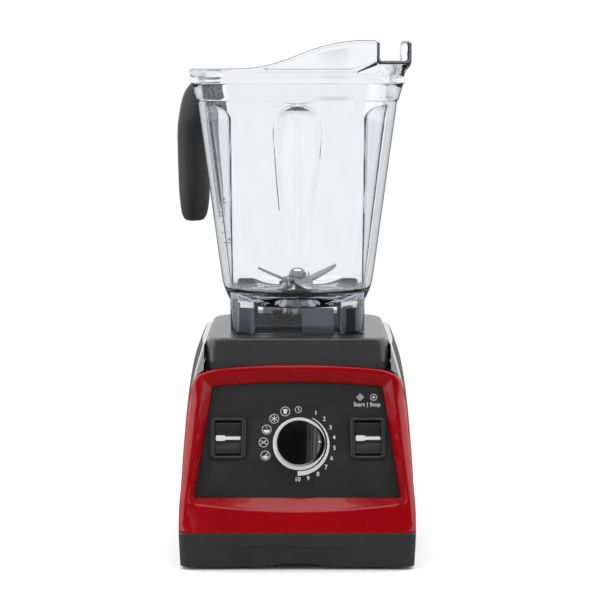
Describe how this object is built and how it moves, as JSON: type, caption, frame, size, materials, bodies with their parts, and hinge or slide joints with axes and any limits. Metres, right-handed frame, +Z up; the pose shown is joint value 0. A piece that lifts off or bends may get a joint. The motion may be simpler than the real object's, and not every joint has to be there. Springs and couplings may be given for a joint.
{
  "type": "countertop blender",
  "caption": "Countertop blender: powered base with leaning control panel and dial, clear lift-off jug with corner spout, soft-grip handle and blade unit.",
  "frame": {"origin": "on the drive axis, in the plane of the base tray's flat underside; the rubber feet reach 2.5 mm lower", "axes": "+Z up along the drive axis, the control panel faces -Y, +X to the right as seen from the front"},
  "size_m": [0.2097, 0.242, 0.4345],
  "materials": {
    "charcoal_plastic": "fine matte moulding",
    "gloss_charcoal": "smooth glossy moulding",
    "red_gloss": "deep red high gloss",
    "panel_black": "fine satin texture",
    "rubber": "matte",
    "soft_grip": "soft-touch, satin",
    "gloss_black": "high gloss",
    "chrome_trim": "bright",
    "steel": "ground and turned",
    "aluminium": "cast and machined",
    "copper_winding": "enamelled copper wire",
    "carbon": "pressed carbon",
    "circuit_board": "solder mask",
    "nylon": "natural nylon",
    "clear_plastic": "clear, polished"
  },
  "bodies": {
    "base": {"base_tray": "charcoal_plastic", "pedestal_cap": "charcoal_plastic", "pulse_bezel": "charcoal_plastic", "start_stop_bezel": "charcoal_plastic", "pulse_switch_body": "charcoal_plastic", "start_stop_switch_body": "charcoal_plastic", "power_switch_body": "charcoal_plastic", "air_duct_ring": "charcoal_plastic", "rear_housing": "gloss_charcoal", "front_fascia": "red_gloss", "control_panel": "panel_black", "centring_pad": "rubber", "cord_gland": "rubber", "foot_1": "rubber", "foot_2": "rubber", "foot_3": "rubber", "foot_4": "rubber", "tray_screw_1": "steel", "tray_screw_2": "steel", "tray_screw_3": "steel", "tray_screw_4": "steel", "motor_screw_left": "steel", "motor_screw_right": "steel", "stator_stack": "steel", "lower_bearing": "steel", "upper_bearing": "steel", "dial_encoder": "aluminium", "heat_sink": "aluminium", "lower_bearing_bracket": "aluminium", "upper_bearing_bracket": "aluminium", "field_coil_front": "copper_winding", "field_coil_rear": "copper_winding", "carbon_brush_left": "carbon", "carbon_brush_right": "carbon", "control_board": "circuit_board", "brush_holder_left": "nylon", "brush_holder_right": "nylon"},
    "rotor": {"motor_shaft": "steel", "armature": "copper_winding", "commutator": "copper_winding", "cooling_fan": "nylon", "drive_socket": "steel"},
    "dial": {"dial_knob": "gloss_black", "dial_ring": "chrome_trim", "dial_shaft": "steel"},
    "pulse_rocker": {"pulse_paddle": "panel_black", "pulse_bar": "chrome_trim"},
    "start_stop_rocker": {"start_stop_paddle": "panel_black", "start_stop_bar": "chrome_trim"},
    "power_rocker_body": {"power_rocker": "gloss_black"},
    "jug": {"jug_body": "clear_plastic", "handle_core": "charcoal_plastic", "handle_grip": "soft_grip", "handle_screw_1": "steel", "handle_screw_2": "steel", "blade_bearing_housing": "steel", "retainer_nut": "aluminium"},
    "blades": {"blade_shaft": "steel", "blade_wings": "steel", "blade_cap_nut": "steel"}
  },
  "joints": [
    {"name": "motor_spin", "type": "hinge", "parent": "base", "child": "rotor", "pos_m": [0, 0, 0.1], "axis": [0, 0, 1], "continuous": true},
    {"name": "jug_lift", "type": "slide", "parent": "base", "child": "jug", "axis": [0, 0, 1], "range_m": [0, 0.06]},
    {"name": "blade_spin", "type": "hinge", "parent": "jug", "child": "blades", "pos_m": [0, 0, 0.226], "axis": [0, 0, 1], "continuous": true},
    {"name": "dial_turn", "type": "hinge", "parent": "base", "child": "dial", "pos_m": [0.0015, -0.09985, 0.09743], "axis": [0, -0.9537, 0.3007], "range_deg": [-92, 201]},
    {"name": "pulse_press", "type": "hinge", "parent": "base", "child": "pulse_rocker", "pos_m": [-0.0577, -0.09366, 0.10041], "axis": [1, 0, 0], "range_deg": [-7, 7], "stiffness_Nm_per_rad": 0.05},
    {"name": "start_stop_press", "type": "hinge", "parent": "base", "child": "start_stop_rocker", "pos_m": [0.0589, -0.09366, 0.10041], "axis": [1, 0, 0], "range_deg": [-7, 7], "stiffness_Nm_per_rad": 0.05},
    {"name": "power_press", "type": "hinge", "parent": "base", "child": "power_rocker_body", "pos_m": [-0.052, 0.106, 0.062], "axis": [1, 0, 0], "range_deg": [0, 18]}
  ],
  "couplings": [
    {"joint": "blade_spin", "follows": "motor_spin", "ratio": 1}
  ]
}
